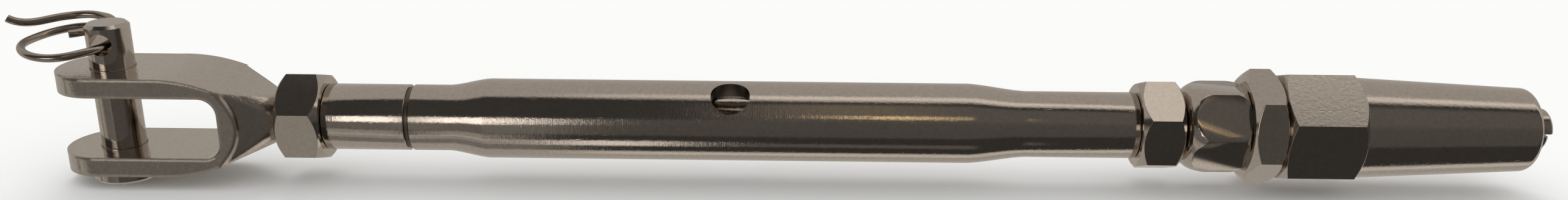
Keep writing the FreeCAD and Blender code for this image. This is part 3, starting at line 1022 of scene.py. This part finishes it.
def room_panel():
    """One panel of the room, as a level that fades out over its edges."""
    inputs = (
        ("Angle", 0.0),
        ("Along", 0.0),
        ("Low", 0.0),
        ("High", 10.0),
        ("Soft", 4.0),
        ("Left", -1.0),
        ("Right", 1.0),
        ("Level", 1.0),
    )
    group, given, result = new_group("Room panel", inputs, ("Level",))
    below = math_node(group, "SUBTRACT", given["Angle"], given["Low"])
    above = math_node(group, "SUBTRACT", given["High"], given["Angle"])
    inside = math_node(group, "MINIMUM", below, above)
    inside = math_node(group, "DIVIDE", inside, given["Soft"])
    round_share = range_node(group, inside, -0.5, 0.5)
    before = math_node(group, "SUBTRACT", given["Along"], given["Left"])
    after = math_node(group, "SUBTRACT", given["Right"], given["Along"])
    between = math_node(group, "MINIMUM", before, after)
    along_share = range_node(group, between, -PANEL_END, PANEL_END)
    share = math_node(group, "MULTIPLY", round_share, along_share)
    join(group, math_node(group, "MULTIPLY", share, given["Level"]), result["Level"])
    return group


def hang_panels(tree, group, panels, turn, along, level):
    """Add the panels up, on top of a plain level."""
    for name, low, high, soft, left, right, strength in panels:
        panel = place_group(
            tree, group, Low=low, High=high, Soft=soft, Left=left, Right=right, Level=strength
        )
        panel.label = name
        join(tree, turn, panel.inputs["Angle"])
        join(tree, along, panel.inputs["Along"])
        level = math_node(tree, "ADD", panel.outputs["Level"], level)
    return level


class TURNBUCKLE_OT_stage(bpy.types.Operator):
    """Pale floor, soft light and the camera of the picture"""

    bl_idname = "turnbuckle.stage"
    bl_label = "Stage"

    def execute(self, context):
        stage = context.scene.turnbuckle_stage
        self.lay_floor(stage)
        self.light_room(context, stage)
        self.hang_lamp()
        self.place_camera(context, stage)
        context.scene.view_settings.view_transform = "Standard"
        return {"FINISHED"}

    def lay_floor(self, stage):
        deselect()
        bpy.ops.mesh.primitive_plane_add(size=FLOOR_SIZE)
        floor = bpy.context.object
        floor.name = "floor"
        edit(floor)
        bpy.ops.transform.translate(value=(0, 0, solids_low.z))
        leave_edit()
        material = bpy.data.materials.new("Floor paper")
        material.use_nodes = True
        shader = material.node_tree.nodes["Principled BSDF"]
        shader.inputs["Base Color"].default_value = (*stage.floor, 1.0)
        shader.inputs["Roughness"].default_value = 0.9
        shader.inputs["Specular IOR Level"].default_value = 0.1
        floor.data.materials.append(material)
        floor.visible_glossy = False

    def light_room(self, context, stage):
        """A plain dome for the floor, and a banded room that the metal reflects."""
        world = bpy.data.worlds.new("Room")
        context.scene.world = world
        world.use_nodes = True
        tree = world.node_tree
        direction = tree.nodes.new("ShaderNodeTexCoord").outputs["Generated"]
        split = tree.nodes.new("ShaderNodeSeparateXYZ")
        join(tree, direction, split.inputs["Vector"])
        along = split.outputs["X"]
        forward = math_node(tree, "MULTIPLY", split.outputs["Y"], -1.0)
        turn = math_node(tree, "ARCTAN2", split.outputs["Z"], forward)
        turn = math_node(tree, "MULTIPLY", turn, 180 / math.pi)
        group = room_panel()
        level = hang_panels(tree, group, ROOM_PANELS, turn, along, ROOM_GLOW)
        glow = hang_panels(tree, group, LAMP_PANELS, turn, along, 0.0)
        both = tree.nodes.new("ShaderNodeVectorMath")
        join(tree, tinted(tree, stage.room, level), both.inputs[0])
        join(tree, tinted(tree, stage.lamp, glow), both.inputs[1])
        glossy = tree.nodes.new("ShaderNodeLightPath").outputs["Is Glossy Ray"]
        seen = blend_node(tree, glossy, stage.dome, both.outputs["Vector"])
        background = tree.nodes["Background"]
        join(tree, seen, background.inputs["Color"])
        background.inputs["Strength"].default_value = 1.0

    def hang_lamp(self):
        """One soft lamp behind the object, so that its faint shadow falls to the front."""
        deselect()
        bpy.ops.object.light_add(type="SUN")
        lamp = bpy.context.object
        lamp.name = "window_light"
        lamp.data.energy = WINDOW_STRENGTH
        lamp.data.angle = math.radians(WINDOW_SPREAD)
        lamp.rotation_euler = WINDOW_AIM.to_track_quat("-Z", "Y").to_euler()
        lamp.visible_glossy = False

    def place_camera(self, context, stage):
        rise, swing, roll = stage.camera_elevation, stage.camera_azimuth, stage.camera_roll
        ahead = Vector(
            (
                -math.sin(swing) * math.cos(rise),
                math.cos(swing) * math.cos(rise),
                -math.sin(rise),
            )
        )
        level = ahead.cross(Vector((0, 0, 1))).normalized()
        up = level.cross(ahead)
        across = level * math.cos(roll) + up * math.sin(roll)
        upward = up * math.cos(roll) - level * math.sin(roll)
        deselect()
        bpy.ops.object.camera_add()
        camera = bpy.context.object
        camera.name = "photo_camera"
        columns = Matrix((across, upward, -ahead)).transposed().to_4x4()
        columns.translation = Vector((stage.camera_station, 0, 0)) - ahead * stage.camera_distance
        camera.matrix_world = columns
        camera.data.sensor_width = PICTURE_WIDTH
        camera.data.lens = stage.camera_lens
        camera.data.shift_x, camera.data.shift_y = PICTURE_SHIFT
        camera.data.clip_start = NEAREST
        camera.data.clip_end = FARTHEST
        context.scene.camera = camera


class TURNBUCKLE_PT_panel(bpy.types.Panel):
    """Buttons that build each piece, and the settings they read"""

    bl_idname = "TURNBUCKLE_PT_panel"
    bl_label = "Turnbuckle"
    bl_space_type = "VIEW_3D"
    bl_region_type = "UI"
    bl_category = "Turnbuckle"

    def draw(self, context):
        layout = self.layout
        for settings in (
            context.scene.turnbuckle_sizes,
            context.scene.turnbuckle_finishes,
            context.scene.turnbuckle_stage,
        ):
            box = layout.box()
            for name in settings.__annotations__:
                box.prop(settings, name)
        for operator in OPERATORS:
            layout.operator(operator.bl_idname)


OPERATORS = (
    TURNBUCKLE_OT_barrel,
    TURNBUCKLE_OT_fork,
    TURNBUCKLE_OT_pin,
    TURNBUCKLE_OT_ring,
    TURNBUCKLE_OT_spring,
    TURNBUCKLE_OT_nuts,
    TURNBUCKLE_OT_terminal,
    TURNBUCKLE_OT_jaws,
    TURNBUCKLE_OT_stage,
)
SETTINGS = (
    ("turnbuckle_sizes", TurnbuckleSizes),
    ("turnbuckle_finishes", TurnbuckleFinishes),
    ("turnbuckle_stage", TurnbuckleStage),
)


def register():
    for name, group in SETTINGS:
        bpy.utils.register_class(group)
        setattr(bpy.types.Scene, name, bpy.props.PointerProperty(type=group))
    for operator in OPERATORS:
        bpy.utils.register_class(operator)
    bpy.utils.register_class(TURNBUCKLE_PT_panel)


def unregister():
    bpy.utils.unregister_class(TURNBUCKLE_PT_panel)
    for operator in reversed(OPERATORS):
        bpy.utils.unregister_class(operator)
    for name, group in reversed(SETTINGS):
        delattr(bpy.types.Scene, name)
        bpy.utils.unregister_class(group)


def main():
    register()
    bpy.ops.turnbuckle.barrel()
    bpy.ops.turnbuckle.fork()
    bpy.ops.turnbuckle.pin()
    bpy.ops.turnbuckle.ring()
    bpy.ops.turnbuckle.spring()
    bpy.ops.turnbuckle.nuts()
    bpy.ops.turnbuckle.terminal()
    bpy.ops.turnbuckle.jaws()
    bpy.ops.turnbuckle.stage()


if __name__ == "__main__":
    main()
